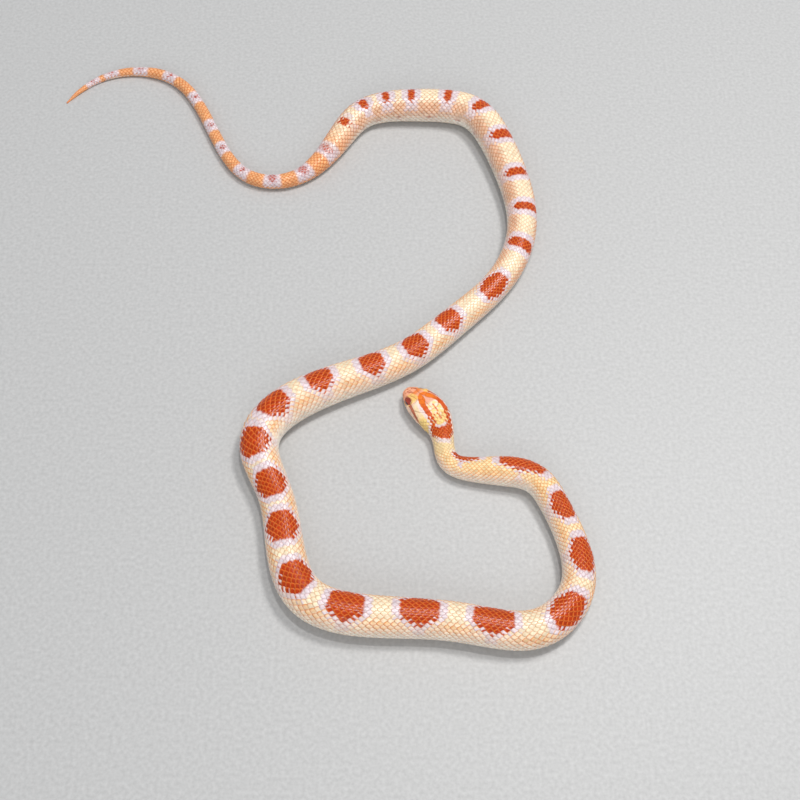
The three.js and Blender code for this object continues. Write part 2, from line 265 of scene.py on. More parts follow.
# Markings, the same on skin and scales. Brick-red saddles with a lavender-white border lie over
# a cream back and peach flanks, the front third is yellower, and past the vent the ground turns
# orange with pale saddles. Each saddle is a place, a side, a half length and a reach round the body.
SADDLES = np.array([
    (33.0, -0.27, 5.2, 0.2), (50.7, -0.16, 6.4, 0.25), (67.9, -0.10, 4.4, 0.3), (83.9, -0.11, 5.1, 0.31),
    (101.3, -0.08, 5.2, 0.33), (122.8, 0.09, 5.8, 0.31), (143.3, 0.08, 5.5, 0.32), (163.8, 0.07, 5.2, 0.32),
    (181.3, 0.03, 4.8, 0.33), (197.8, 0, 4.7, 0.34), (212.3, -0.04, 4.5, 0.34), (226.3, -0.09, 4.3, 0.32),
    (239.7, -0.08, 4.4, 0.31), (255.7, -0.07, 3.9, 0.29), (272.7, -0.04, 3.7, 0.3), (287.7, 0, 3.7, 0.32),
    (302.2, -0.01, 3.7, 0.33), (322.2, 0.08, 5.0, 0.3), (341.2, 0.10, 1.9, 0.37), (356.2, 0.12, 1.5, 0.35),
    (370.7, 0.05, 1.6, 0.27), (387.7, 0.10, 2.0, 0.28), (402.2, 0.09, 1.8, 0.24), (414.2, 0.06, 1.3, 0.24),
    (427.2, 0.04, 1.2, 0.21), (436.2, 0.03, 1.2, 0.18), (444.7, 0.02, 1.4, 0.17), (454.7, 0.02, 1.6, 0.16),
])
PALE_SADDLES = [467.2, 478.7, 489.7, 501.1, 514.1, 525.6, 540.6, 555.6, 567.6, 578.6, 586.1]
# How far the pattern's middle line leans to one side of the back.
LEAN = [
    (0, 0), (19, 0), (30, -0.08), (50, -0.10), (84, -0.10), (101, -0.08), (123, 0.08), (164, 0.07),
    (198, 0), (226, -0.08), (256, -0.07), (288, 0), (322, 0.06), (341, 0.10), (388, 0.09), (430, 0.04),
    (470, 0), (599, 0),
]
# From here on the saddles are narrow bars with blunter ends, and from here the tail's specks are small.
BARS_FROM, SMALL_SPECKS_FROM = 335, 500
BAR_TAPER, SADDLE_TAPER = 0.34, 0.52


def paint(red, green, blue):
    """A colour named by its three screen values, as the linear light that the shader takes."""
    c = np.array([red, green, blue]) / 255
    return np.where(c <= 0.04045, c / 12.92, ((c + 0.055) / 1.055) ** 2.4)


def speckle(a, b, seed):
    """Repeatable scatter between 0 and 1 for each pair of numbers."""
    v = np.sin(np.asarray(a) * 12.9898 + np.asarray(b) * 78.233 + seed * 37.719) * 43758.5453
    return v - np.floor(v)


def waver(a, b):
    """A soft uneven number round 0, for edges that no ruler drew."""
    fine_part = 0.7 * np.sin(5.3 * a + 4.1 * b + 1)
    return (np.sin(3.1 * a + 1.7 * b) + np.sin(2.3 * b - 1.9 * a + 2) + fine_part) / 3


def blend(base, other, share):
    return base + (other - base) * np.asarray(share)[..., None]


BRICK, BRICK_EDGE = paint(178, 54, 4), paint(226, 112, 42)
BORDER, BORDER_EDGE = paint(234, 216, 220), paint(218, 188, 190)
CREAM, CREAM_EDGE = paint(252, 232, 200), paint(240, 196, 156)
HONEY, HONEY_EDGE = paint(251, 222, 170), paint(238, 166, 98)
PEACH, PEACH_EDGE = paint(252, 228, 204), paint(238, 178, 142)
OCHRE, OCHRE_EDGE = paint(246, 194, 132), paint(228, 134, 70)
REAR_PEACH, REAR_PEACH_EDGE = paint(240, 192, 160), paint(212, 136, 96)
UNDERSIDE, UNDERSIDE_EDGE = paint(250, 240, 226), paint(240, 214, 192)
TAIL_ORANGE, TAIL_ORANGE_EDGE = paint(246, 178, 124), paint(224, 124, 68)
lean = reading(LEAN)


def saddle_depth(s, f):
    """Millimetres inside the nearest saddle's edge, below 0 outside it."""
    deepest = np.full(np.broadcast(s, f).shape, -99.0)
    girth = half_girth(s)
    for at, side, half, reach in SADDLES:
        b = np.abs(f - side) / reach
        ragged = 0.22 * waver(1.9 * s, 30 * f)
        taper = SADDLE_TAPER if at < BARS_FROM else BAR_TAPER
        along = half * np.clip((1.04 - b) / taper, -0.3, 1) - np.abs(s - at)
        deepest = np.maximum(deepest, np.minimum(along, (1 - b) * reach * girth) + ragged)
    return deepest


def ground(s, f):
    """Centre and edge colours of the body's scales at a place, without head or tail markings."""
    side = np.abs(f - lean(s))
    middle_gap = np.zeros(np.broadcast(s, f).shape)
    for one, two in zip(SADDLES[:-1, 0], SADDLES[1:, 0]):
        reach = 0.3 * (two - one)
        near = np.exp(-((s - (one + two) / 2) / reach) ** 2)
        middle_gap = np.maximum(middle_gap, near)
    tint = blend(CREAM, PEACH, ease(0.19, 0.29, side))
    rim = blend(CREAM_EDGE, PEACH_EDGE, ease(0.17, 0.27, side))
    front = ease(100, 62, s)
    tint = blend(tint, HONEY, 0.9 * front * ease(0.46, 0.22, side))
    rim = blend(rim, HONEY_EDGE, front * ease(0.5, 0.25, side))
    blotch = middle_gap * np.exp(-((side - 0.31) / 0.06) ** 2)
    tint = blend(tint, OCHRE, 0.8 * blotch)
    rim = blend(rim, OCHRE_EDGE, 0.9 * blotch)
    rear = 0.9 * ease(300, 345, s) * ease(0.14, 0.28, side)
    tint = blend(tint, REAR_PEACH, rear)
    rim = blend(rim, REAR_PEACH_EDGE, rear)
    low = ease(0.40, 0.64, side)
    tint = blend(tint, UNDERSIDE, low)
    rim = blend(rim, UNDERSIDE_EDGE, low)
    fleck = middle_gap**4 * np.exp(-((side - 0.56) / 0.035) ** 2) * ease(290, 330, s)
    tint = blend(tint, BRICK, 0.7 * fleck)
    return tint, rim


# Head markings: two orange bands run back from between the eyes round a cream patch with a thin
# red middle line, and join in a brick-red band on the nape. Brows are yellow, the snout is peach.
BAND_INSIDE = reading([(5.2, 0), (8, 0.4), (9.7, 1.6), (12, 2.05), (13.5, 2.0), (15.5, 1.85), (18, 1.7)])
BAND_OUTSIDE = reading([
    (5.2, 0.2), (5.8, 1.3), (7, 2.3), (8.6, 3.0), (11, 3.5), (13.3, 3.6), (15.2, 3.25), (18, 3.1),
])
EYE_STRIPE = reading([(6, 0.325), (8.3, 0.37), (9.9, 0.40), (11.1, 0.425), (13, 0.475), (16, 0.535)])
SNOUT_PEACH, PINK, SHELL = paint(240, 172, 138), paint(242, 176, 150), paint(250, 226, 210)
BROW_YELLOW, CHEEK_YELLOW, PATCH = paint(242, 194, 116), paint(248, 214, 138), paint(252, 214, 138)
BAND, BAND_BRIGHT, NAPE = paint(212, 88, 24), paint(234, 122, 36), paint(186, 62, 12)
STREAK, LIP, CHIN = paint(176, 68, 36), paint(250, 220, 196), paint(248, 230, 214)


def head_markings(s, y, f):
    """Colours of the head and nape, and how far each place is in the brick-red part of them."""
    s = np.asarray(s, float)
    v = y + 1.1 * ease(0, 5, s) * (1 - ease(13.5, 19, s))
    uneven = waver(1.3 * s, 1.3 * y)
    side = np.abs(v) + 0.14 * uneven
    along = s + 0.16 * waver(1.1 * y, 1.4 * s)
    cheek = np.abs(f)
    tint = blend(SNOUT_PEACH, SHELL, ease(5.5, 7.5, along))
    streak = ease(0.26, 0.12, np.abs(side - 0.8 - 0.08 * along))
    streak = streak * ease(1.2, 1.6, along) * ease(3.6, 3.0, along)
    tint = blend(tint, STREAK, 0.8 * streak)
    arch = ease(3.0, 3.5, along) * ease(5.0, 4.2, along) * ease(1.7, 1.2, side)
    tint = blend(tint, BAND_BRIGHT, 0.75 * arch)
    brow = ease(2.7, 3.3, along) * ease(7.0, 6.0, along) * ease(1.1, 1.5, side)
    tint = blend(tint, BROW_YELLOW, brow)
    outside, inside = BAND_OUTSIDE(s), BAND_INSIDE(s)
    tint = blend(tint, CHEEK_YELLOW, ease(11.0, 13.5, along) * ease(outside + 0.6, outside + 1.1, side))
    beside = 0.5 * ease(6.4, 8, along) * ease(outside + 0.9, outside + 1.3, side)
    tint = blend(tint, CHEEK_YELLOW, beside)
    pink = ease(6.8, 7.4, along) * ease(inside + 0.12, inside - 0.12, side)
    tint = blend(tint, PINK, pink)
    patch = ease(9.7, 10.4, along) * ease(inside + 0.06, inside - 0.16, side)
    tint = blend(tint, blend(SHELL, PATCH, ease(-0.5, 0.5, uneven + 0.12 * (along - 11))), patch)
    middle = ease(0.34, 0.14, np.abs(v) + 0.05 * uneven)
    middle = middle * ease(10.6, 11.2, along) * ease(16.6, 15.8, along)
    tint = blend(tint, BAND, 0.85 * middle)
    band = ease(inside - 0.1, inside + 0.1, side) * ease(outside + 0.1, outside - 0.1, side)
    band = band * ease(5.0, 5.4, along) * ease(19.4, 18.6, s)
    to_edge = np.minimum(np.abs(side - inside), np.abs(side - outside))
    outline = ease(0.30, 0.10, to_edge) * ease(5.6, 7, s)
    band_colour = blend(BAND_BRIGHT, BAND, ease(8.5, 10.5, along + uneven))
    band_colour = blend(band_colour, NAPE, 0.8 * ease(12.5, 16, along))
    tint = blend(tint, blend(band_colour, STREAK, 0.5 * outline), band)
    front_edge = 18.7 - 0.22 * v**2 + 0.15 * uneven
    rear_edge = 22.7 - 0.22 * v**2 + 1.0 * np.exp(-((v + 1.7) / 0.6) ** 2)
    front_white = ease(front_edge - 0.95, front_edge - 0.75, s) * ease(2.0, 1.7, side)
    shell = ease(0.5, 0.35, np.abs(side - outside - 0.35)) * ease(7.5, 9, s) * ease(19, 18, s)
    tint = blend(tint, BORDER, 0.45 * shell)
    tint = blend(tint, BORDER, 0.9 * front_white)
    nape = ease(front_edge - 0.08, front_edge + 0.08, s) * ease(rear_edge + 0.12, rear_edge - 0.12, s)
    nape = nape * ease(3.4, 3.1, side)
    tint = blend(tint, NAPE, nape)
    after = ease(rear_edge + 0.1, rear_edge + 0.3, s)
    tint = blend(tint, HONEY, after * ease(3.6, 2.8, side))
    rear_white = after * ease(rear_edge + 1.7, rear_edge + 1.2, s) * ease(2.6, 2.0, side)
    tint = blend(tint, BORDER, 0.85 * rear_white)
    stripe = ease(0.052, 0.030, np.abs(cheek - EYE_STRIPE(s)) + 0.006 * uneven)
    stripe = stripe * ease(5.8, 6.4, s) * ease(14.0, 11.5, s)
    tint = blend(tint, STREAK, 0.85 * stripe)
    below = ease(EYE_STRIPE(s) + 0.025, EYE_STRIPE(s) + 0.06, cheek) * ease(3.0, 6.0, s)
    tint = blend(tint, LIP, below)
    tint = blend(tint, LIP, ease(0.46, 0.54, cheek) * ease(8, 3, s))
    red = np.maximum(nape, band * ease(11, 14, s)) * ease(0.58, 0.48, cheek)
    return blend(tint, CHIN, ease(0.56, 0.66, cheek)), red


def markings(s, f):
    """Centre and edge colours at any place of the animal."""
    s = np.asarray(s, float)
    tint, rim = ground(s, f)
    inside = saddle_depth(s, f)
    low = ease(0.24, 0.40, np.abs(f - lean(s)))
    border = ease(-2.4, -2.0, inside + 1.1 * low) * ease(458, 448, s) * (1 - 0.45 * low)
    tint = blend(tint, BORDER, border)
    rim = blend(rim, BORDER_EDGE, border)
    brick = ease(-0.22, 0.18, inside)
    tint = blend(tint, BRICK, brick)
    rim = blend(rim, BRICK_EDGE, brick)
    tail = ease(454, 470, s) * ease(0.8, 0.6, np.abs(f))
    pale = np.zeros(np.broadcast(s, f).shape)
    speck = np.zeros(np.broadcast(s, f).shape)
    for at in PALE_SADDLES:
        pale = np.maximum(pale, ease(3.4, 2.2, np.abs(s - at)) * ease(0.6, 0.42, np.abs(f)))
        size = 1.9 if at < SMALL_SPECKS_FROM else 1.2
        away = np.hypot(s - at, 6 * f) + 0.7 * waver(3 * s, 25 * f)
        speck = np.maximum(speck, ease(size, 0.6 * size, away))
    tail_tint = blend(blend(TAIL_ORANGE, BORDER, pale), BRICK, 0.9 * speck)
    tint = blend(tint, tail_tint, tail)
    rim = blend(rim, blend(TAIL_ORANGE_EDGE, BORDER_EDGE, pale), tail)
    near_head = ease(28.5, 25.5, s)
    _, y, _ = straight(s, f)
    head, red = head_markings(s, y, f)
    tint = blend(tint, head, near_head)
    return tint, blend(rim, blend(head * np.array([0.86, 0.74, 0.66]), BRICK_EDGE, red), near_head)


HEAD_RINGS = np.arange(0, 20.01, 0.1)
BODY_RINGS = np.linspace(20.9, LENGTH, 380)
ROUND_HEAD, ROUND_BODY = 288, 72
head_s, head_f = np.meshgrid(HEAD_RINGS, -1 + 2 * np.arange(ROUND_HEAD) / ROUND_HEAD, indexing="ij")
body_s, body_f = np.meshgrid(BODY_RINGS, -1 + 2 * np.arange(ROUND_BODY) / ROUND_BODY, indexing="ij")
skin_s = np.concatenate([head_s.ravel(), body_s.ravel()])
skin_f = np.concatenate([head_f.ravel(), body_f.ravel()])
tint, rim = markings(skin_s, skin_f)
skin_tint = blend(rim, tint, np.where(skin_s < 20.5, 1.0 - 0.6 * ease(12.5, 15, skin_s), 0.3))

# The head's plates are sculpted in the hide itself. Seams are drawn as lines on the crown and chin,
# in distance from the snout and from the middle line, and on the cheeks, in distance and height.
# Each seam is a fine groove, and each plate swells a little between its seams.
CROWN_SEAMS = [
    [(0.5, 0), (0.55, 0.5), (0.75, 1.1), (1.55, 1.75)],
    [(1.82, 0), (1.88, 0.8), (1.6, 1.7)],
    [(0.5, 0), (3.42, 0)],
    [(3.42, 0), (3.45, 1.4), (2.75, 2.6), (2.5, 3.1)],
    [(3.45, 1.4), (5.3, 1.12), (6.6, 1.25)],
    [(7.4, 0), (7.0, 0.7), (6.6, 1.25), (6.75, 2.4), (6.7, 3.5)],
    [(2.75, 2.6), (3.9, 3.35), (5.3, 3.75), (6.7, 3.5)],
    [(7.4, 0), (12.3, 0)],
    [(12.3, 0), (12.5, 1.4), (11.9, 2.6), (10.6, 3.7), (8.5, 4.35), (6.9, 3.9), (6.7, 3.5)],
]
CHEEK_SEAMS = [
    [(0.75, 3.15), (2.1, 3.15), (3.2, 3.2), (3.35, 2.95)],
    [(2.15, 3.15), (2.2, 4.3)], [(1.4, 3.15), (1.35, 3.9)],
    [(3.1, 3.2), (3.15, 4.2), (2.9, 4.9)],
    [(6.6, 3.15), (7.5, 3.3), (9.3, 3.35), (11.2, 3.4), (13.0, 3.5), (13.9, 3.3)],
    [(6.4, 4.45), (7.55, 4.45)], [(7.55, 3.3), (7.6, 4.45), (7.3, 5.5)],
    [(7.6, 4.45), (9.4, 4.35)], [(9.35, 3.35), (9.45, 4.35), (9.3, 5.5)],
    [(9.4, 4.1), (11.25, 4.0)], [(9.4, 4.85), (11.25, 4.8)],
    [(11.2, 3.4), (11.3, 5.6)],
]
LIP_FRONT, LIP_LENGTH, UPPER_SHIELDS, LOWER_SHIELDS = 0.95, 12.65, 8, 7
for k in range(UPPER_SHIELDS):
    x = LIP_FRONT + LIP_LENGTH / UPPER_SHIELDS * (k + 1)
    CHEEK_SEAMS.append([(x, float(mouth(x))), (x - 0.12, float(mouth(x)) + 0.72 + 0.036 * x)])
for k in range(LOWER_SHIELDS):
    x = LIP_FRONT + LIP_LENGTH / LOWER_SHIELDS * (k + 1)
    CHEEK_SEAMS.append([(x, float(mouth(x))), (x - 0.1, float(mouth(x)) - 0.95 - 0.036 * x)])
CHEEK_SEAMS.append([(x, float(mouth(x)) + 0.72 + 0.036 * x) for x in np.linspace(0.6, 13.5, 14)])
CHEEK_SEAMS.append([(x, float(mouth(x)) - 0.95 - 0.036 * x) for x in np.linspace(1.0, 13.5, 14)])
CHIN_SEAMS = [
    [(1.0, 0), (9.0, 0)], [(1.0, 0), (1.05, 0.5), (0.7, 1.0)], [(1.05, 0.5), (2.0, 0.9), (2.5, 1.5)],
    [(2.5, 1.5), (3.4, 2.1), (5.6, 2.5), (8.6, 3.1)], [(5.1, 0), (5.4, 1.3), (5.6, 2.5)],
    [(5.4, 0.1), (7.4, 0.5), (9.0, 0.9)], [(8.6, 3.1), (9.4, 2.0), (9.0, 0.9), (9.0, 0)],
]
EYE_AT = {1: np.array([4.95, 2.84, 4.10]), -1: np.array([4.95, 2.70, 3.66])}
EYE_RADII = np.array([2.2, 1.2, 1.45])
EYE_UP, EYE_FORWARD = 0.18, 0.16


def seam_distance(seams, a, b):
    nearest = np.full(a.shape, 9.0)
    for line in seams:
        for (a0, b0), (a1, b1) in zip(line[:-1], line[1:]):
            da, db = a1 - a0, b1 - b0
            t = np.clip(((a - a0) * da + (b - b0) * db) / (da * da + db * db), 0, 1)
            nearest = np.minimum(nearest, np.hypot(a - a0 - t * da, b - b0 - t * db))
    return nearest


def sculpt(s, f):
    """How far the hide rises or sinks on the head, and how dark it is drawn: dark joints along the plates'
    seams, and painted shade in the mouth's split, the groove round each eye and the nostril.
    """
    x, y, z = straight(s, f)
    _, _, out = axes(s, f)
    upward = out[..., 2]
    head = ease(15.2, 12.4, s)
    rise = np.zeros(s.shape)
    total = np.zeros(s.shape)
    seam = np.zeros(s.shape)
    for seams, a, b, share in (
        (CROWN_SEAMS, x, np.abs(y), ease(0.42, 0.66, upward)),
        (CHEEK_SEAMS, x, z, ease(0.72, 0.5, np.abs(upward))),
        (CHIN_SEAMS, x, np.abs(y), ease(-0.5, -0.75, upward)),
    ):
        gap = seam_distance(seams, a, b)
        rise += share * (0.10 * (1 - np.exp(-gap / 0.25)) - 0.12 * np.exp(-((gap / 0.09) ** 2)))
        seam += share * np.exp(-((gap / 0.10) ** 2))
        total += share
    rise = head * rise / np.maximum(total, 0.6)
    lip = ease(15.0, 14.2, s) * ease(0.8, 0.6, np.abs(upward))
    split = np.exp(-(((z - mouth(x)) / 0.10) ** 2)) * lip
    rise -= 0.20 * split
    # Painted shade along the mouth's split, and the plates' seams drawn as dark joints.
    seams_and_painted_shade = np.maximum(split, 0.6 * head * seam)
    eye = np.where(y[:, None] > 0, EYE_AT[1], EYE_AT[-1])
    ex, ey, ez = x - eye[:, 0], np.abs(y) - eye[:, 1], z - eye[:, 2]
    c, q = math.cos(EYE_FORWARD), math.sin(EYE_FORWARD)
    ex, ey = ex * c + ey * q, -ex * q + ey * c
    c, q = math.cos(EYE_UP), math.sin(EYE_UP)
    ey, ez = ey * c + ez * q, -ey * q + ez * c
    share = np.sqrt((ex / EYE_RADII[0]) ** 2 + (ey / EYE_RADII[1]) ** 2 + (ez / EYE_RADII[2]) ** 2)
    reach = (share - 1) * EYE_RADII[2]
    beside = ease(-0.9, -0.3, ey)
    over = ease(0.2, 1.2, ez)
    rise += beside * (0.10 + 0.20 * over) * np.exp(-(((reach - 0.30) / (0.14 + 0.14 * over)) ** 2))
    rise -= 0.07 * beside * np.exp(-((reach / 0.08) ** 2))
    # Painted shade in the groove round the eye.
    seams_and_painted_shade = np.maximum(seams_and_painted_shade, 0.6 * beside * np.exp(-((reach / 0.07) ** 2)))
    # The nostril is a sunk dimple with painted shade in it.
    hole = np.exp(-((np.hypot(x - 1.35, z - 3.45) / 0.17) ** 2)) * ease(0.8, 0.6, np.abs(upward))
    rise -= 0.32 * hole
    seams_and_painted_shade = np.maximum(seams_and_painted_shade, hole)
    return rise, seams_and_painted_shade, out


rise, seams_and_painted_shade, outward = sculpt(skin_s, skin_f)
skin_at = lay(*straight(skin_s, skin_f)) + outward * rise[:, None]
# Darkens the skin along the plates' seams as dark joints, and with painted shade in the mouth's split, the
# eye grooves and the nostril.
skin_tint = blend(skin_tint, paint(150, 62, 44), 0.7 * seams_and_painted_shade)

faces = []
for r in range(len(HEAD_RINGS) - 1):
    a = r * ROUND_HEAD + np.arange(ROUND_HEAD)
    b = r * ROUND_HEAD + (np.arange(ROUND_HEAD) + 1) % ROUND_HEAD
    faces.append(np.stack([a, b, b + ROUND_HEAD, a + ROUND_HEAD], 1))
body_start = len(HEAD_RINGS) * ROUND_HEAD
for r in range(len(BODY_RINGS) - 1):
    a = body_start + r * ROUND_BODY + np.arange(ROUND_BODY)
    b = body_start + r * ROUND_BODY + (np.arange(ROUND_BODY) + 1) % ROUND_BODY
    faces.append(np.stack([a, b, b + ROUND_BODY, a + ROUND_BODY], 1))
faces = np.concatenate(faces).tolist()
last_head = body_start - ROUND_HEAD
for j in range(ROUND_BODY):
    step = ROUND_HEAD // ROUND_BODY
    edge = [last_head + (step * j + k) % ROUND_HEAD for k in range(step + 1)]
    faces.append([*edge, body_start + (j + 1) % ROUND_BODY, body_start + j])
faces.append(list(range(ROUND_HEAD))[::-1])
faces.append([len(skin_at) - ROUND_BODY + j for j in range(ROUND_BODY)])


def new_piece(name, points, polygons):
    mesh = bpy.data.meshes.new(name)
    mesh.from_pydata((points * MM).tolist(), [], polygons)
    mesh.polygons.foreach_set("use_smooth", [True] * len(mesh.polygons))
    mesh.update()
    piece = bpy.data.objects.new(name, mesh)
    scene.collection.objects.link(piece)
    return piece


def give_colour(mesh, name, values):
    layer = mesh.attributes.new(name, "FLOAT_COLOR", "POINT")
    with_alpha = np.column_stack([values, np.ones(len(values))])
    layer.data.foreach_set("color", with_alpha.astype(np.float32).ravel())


skin_at[:, 2] = np.maximum(skin_at[:, 2], 0.02)
skin = new_piece("skin", skin_at, faces)
volume = sum(p.center.dot(p.normal) * p.area for p in skin.data.polygons)
if volume < 0:
    skin.data.flip_normals()
give_colour(skin.data, "tint", skin_tint)
uv = skin.data.uv_layers.new(name="OFBake")
corner = np.zeros(len(skin.data.loops), int)
skin.data.loops.foreach_get("vertex_index", corner)
uv_values = np.zeros((len(corner), 2))
for polygon in skin.data.polygons:
    run_of = slice(polygon.loop_start, polygon.loop_start + polygon.loop_total)
    around = skin_f[corner[run_of]]
    along = skin_s[corner[run_of]]
    if around.max() - around.min() > 1:
        around = np.where(around < 0, around + 2, around)
    strip = min(int(4 * along.mean() / LENGTH), 3)
    uv_values[run_of, 0] = 0.01 + 0.98 * np.clip(4 * along / LENGTH - strip, 0, 1)
    uv_values[run_of, 1] = (strip + 0.02 + 0.96 * (around + 1) / 2) / 4
uv.data.foreach_set("uv", uv_values.astype(np.float32).ravel())


def scaly_paint(name, roughness, with_edge):
    """Keratin over coloured skin: its own tint, a paler or warmer edge, mottling and a fine grain."""
    made = bpy.data.materials.new(name)
    made.use_nodes = True
    nodes, links = made.node_tree.nodes, made.node_tree.links
    shader = nodes["Principled BSDF"]
    coordinates = nodes.new("ShaderNodeTexCoord")
    tint = nodes.new("ShaderNodeAttribute")
    tint.attribute_name = "tint"
    colour = tint.outputs["Color"]
    if with_edge:
        rim = nodes.new("ShaderNodeAttribute")
        rim.attribute_name = "rim"
        edge = nodes.new("ShaderNodeAttribute")
        edge.attribute_name = "edge"
        fade = nodes.new("ShaderNodeMapRange")
        fade.interpolation_type = "SMOOTHSTEP"
        fade.inputs["From Min"].default_value = 0.50
        fade.inputs["From Max"].default_value = 1.0
        joined = nodes.new("ShaderNodeMix")
        joined.data_type = "RGBA"
        links.new(edge.outputs["Fac"], fade.inputs["Value"])
        links.new(fade.outputs["Result"], joined.inputs["Factor"])
        links.new(colour, joined.inputs["A"])
        links.new(rim.outputs["Color"], joined.inputs["B"])
        colour = joined.outputs["Result"]
    mottle = nodes.new("ShaderNodeTexNoise")
    mottle.inputs["Scale"].default_value = 1300
    mottle.inputs["Detail"].default_value = 4
    level = nodes.new("ShaderNodeMapRange")
    level.inputs["From Min"].default_value = 0.3
    level.inputs["From Max"].default_value = 0.7
    level.inputs["To Min"].default_value = 0.86
    level.inputs["To Max"].default_value = 1.1
    shaded = nodes.new("ShaderNodeMix")
    shaded.data_type = "RGBA"
    shaded.blend_type = "MULTIPLY"
    shaded.inputs["Factor"].default_value = 1
    links.new(coordinates.outputs["Object"], mottle.inputs["Vector"])
    links.new(mottle.outputs["Fac"], level.inputs["Value"])
    links.new(colour, shaded.inputs["A"])
    links.new(level.outputs["Result"], shaded.inputs["B"])
    links.new(shaded.outputs["Result"], shader.inputs["Base Color"])
    grain = nodes.new("ShaderNodeTexNoise")
    grain.inputs["Scale"].default_value = 7000
    grain.inputs["Detail"].default_value = 3
    relief = nodes.new("ShaderNodeBump")
    relief.inputs["Strength"].default_value = 0.25
    relief.inputs["Distance"].default_value = 0.00002
    links.new(coordinates.outputs["Object"], grain.inputs["Vector"])
    links.new(grain.outputs["Fac"], relief.inputs["Height"])
    links.new(relief.outputs["Normal"], shader.inputs["Normal"])
    shader.inputs["Roughness"].default_value = roughness
    shader.inputs["Specular IOR Level"].default_value = 0.28
    shader.inputs["Subsurface Weight"].default_value = 0.12
    shader.inputs["Subsurface Radius"].default_value = (1.0, 0.45, 0.3)
    shader.inputs["Subsurface Scale"].default_value = 0.0006
    return made


hide = scaly_paint("hide", 0.40, False)
skin.data.materials.append(hide)
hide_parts("head", "lower_jaw", "neck", *[f"trunk_{k}" for k in range(1, 11)],
            *[f"tail_{k}" for k in range(1, 4)])
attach(skin, "root")

# The scales of the back and sides. Each is a thin domed lozenge of keratin with a faint keel,
# rooted at its front and lying over the next one's root. About 27 rows run along the body, each
# half a scale out of step with its neighbours, and rows end at the belly where the body narrows.
# A scale takes its colours from the markings where each of its own points lies.
ROWS = reading([
    (0, 12.5), (30, 12.5), (70, 13.5), (425, 13.5), (455, 11), (474, 9.5), (502, 7.2), (542, 5.6), (599, 4.2),
])
BELLY_EDGE = 0.74
# Where the plates give way to scales: on the crown, the temple, behind the mouth and on the throat.
CROWN_END, TEMPLE_END, MOUTH_END, CHIN_END = 13.1, 12.4, 14.6, 12.2


def row_width(s):
    return BELLY_EDGE * half_girth(s) / ROWS(s)


FIRST_SCUTE = 15.9
fine = np.arange(8, LENGTH, 0.1)
phase = np.concatenate([[0], np.cumsum(0.1 / (2 * row_width(fine[:-1])))])
scale_s, scale_f = [], []
for row in range(-26, 27):
    shift = 0.5 * (row % 2)
    numbers = np.arange(0, phase[-1] - 1) + shift
    s = np.interp(numbers, phase, fine)
    f = row * row_width(s) / half_girth(s)
    side = np.abs(f)
    zones = [side < 0.28, side < 0.62, side < BELLY_EDGE]
    start = np.select(zones, [CROWN_END, TEMPLE_END, MOUTH_END], CHIN_END)
    above_belly = (abs(row) <= ROWS(s) - 0.45) | (s < FIRST_SCUTE + 0.6)
    keep = (s > start) & (s < LENGTH - 1.6) & above_belly & (side < 1)
    scale_s.append(s[keep])
    scale_f.append(f[keep])
scale_s, scale_f = np.concatenate(scale_s), np.concatenate(scale_f)

SEGMENTS = 12
RING_SHARES = [0.5, 0.82, 1.0]
HALF_LONG, HALF_BROAD = 0.76, 1.07
# The part of the unwrap that one scale takes up, and how closely colours follow its own shape.
PATCH_LONG, PATCH_BROAD, PATCH_SIZE = 1.6, 2.3, 0.003
FOLLOW = 0.8


def lozenge():
    """One scale in units of its spacing along the body and of a row's width."""
    points, edge = [(0, 0)], [0]
    for share in RING_SHARES:
        for k in range(SEGMENTS):
            a = 2 * math.pi * k / SEGMENTS
            c, q = math.cos(a), math.sin(a)
            r = share / (abs(c / HALF_LONG) ** 1.5 + abs(q / HALF_BROAD) ** 1.5) ** (1 / 1.5)
            points.append((r * c, r * q))
            edge.append(share)
    points = np.array(points)
    x, y = points.T
    edge = np.array(edge)
    tilt = -0.06 + 0.24 * ((x / HALF_LONG + 1) / 2)
    keel = 0.02 * np.exp(-((y / 0.14) ** 2))
    z = tilt - y**2 / 7 - 0.05 * x**2 - 0.035 * edge**3 + keel
    skirt = np.column_stack([points[-SEGMENTS:] * 0.985, z[-SEGMENTS:] - 0.13])
    points = np.concatenate([np.column_stack([points, z]), skirt])
    edge = np.concatenate([edge, np.ones(SEGMENTS)])
    faces = [(0, 1 + k, 1 + (k + 1) % SEGMENTS) for k in range(SEGMENTS)]
    for ring in range(3):
        low = 1 + ring * SEGMENTS
        for k in range(SEGMENTS):
            n = (k + 1) % SEGMENTS
            faces.append((low + k, low + SEGMENTS + k, low + SEGMENTS + n, low + n))
    return points, edge, faces


points, edge, faces = lozenge()
pattern = new_piece("scale_pattern", points / MM, faces)
layer = pattern.data.attributes.new("edge", "FLOAT", "POINT")
layer.data.foreach_set("value", edge.astype(np.float32))
layer = pattern.data.attributes.new("patch", "FLOAT_VECTOR", "POINT")
flat = np.column_stack([points[:, 0] / PATCH_LONG, points[:, 1] / PATCH_BROAD, np.zeros(len(points))])
layer.data.foreach_set("vector", flat.astype(np.float32).ravel())

keratin = scaly_paint("keratin", 0.24, True)


